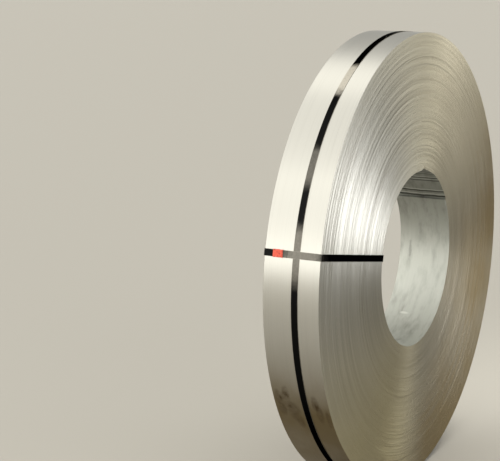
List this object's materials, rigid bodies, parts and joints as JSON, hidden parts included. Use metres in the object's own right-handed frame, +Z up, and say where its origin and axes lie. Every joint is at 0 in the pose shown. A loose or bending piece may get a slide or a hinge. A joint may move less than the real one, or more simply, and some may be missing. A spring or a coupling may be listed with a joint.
{
  "type": "steel coil",
  "caption": "Narrow slit steel coil standing on its rim, with black steel strapping round the rim and through the bore, closed by red crimped seals",
  "frame": {"origin": "on the floor under the middle of the coil, at the bottom centre of the bounding box", "axes": "+Y along the bore axis away from the end seen in the picture, +Z up, +X to the right for someone facing that end"},
  "size_m": [1.298, 0.1631, 1.298],
  "materials": {
    "strip_steel": "satin cold rolled strip, cut edges of the turns on the ends, brown handling stains low on the rim",
    "strap_black": "glossy black steel strapping",
    "seal_red": "red painted steel, crimped"
  },
  "bodies": {
    "root": {"coil": "strip_steel", "hoop_strap": "strap_black", "hoop_seal": "seal_red", "eye_strap": "strap_black", "eye_seal": "seal_red"}
  },
  "joints": []
}
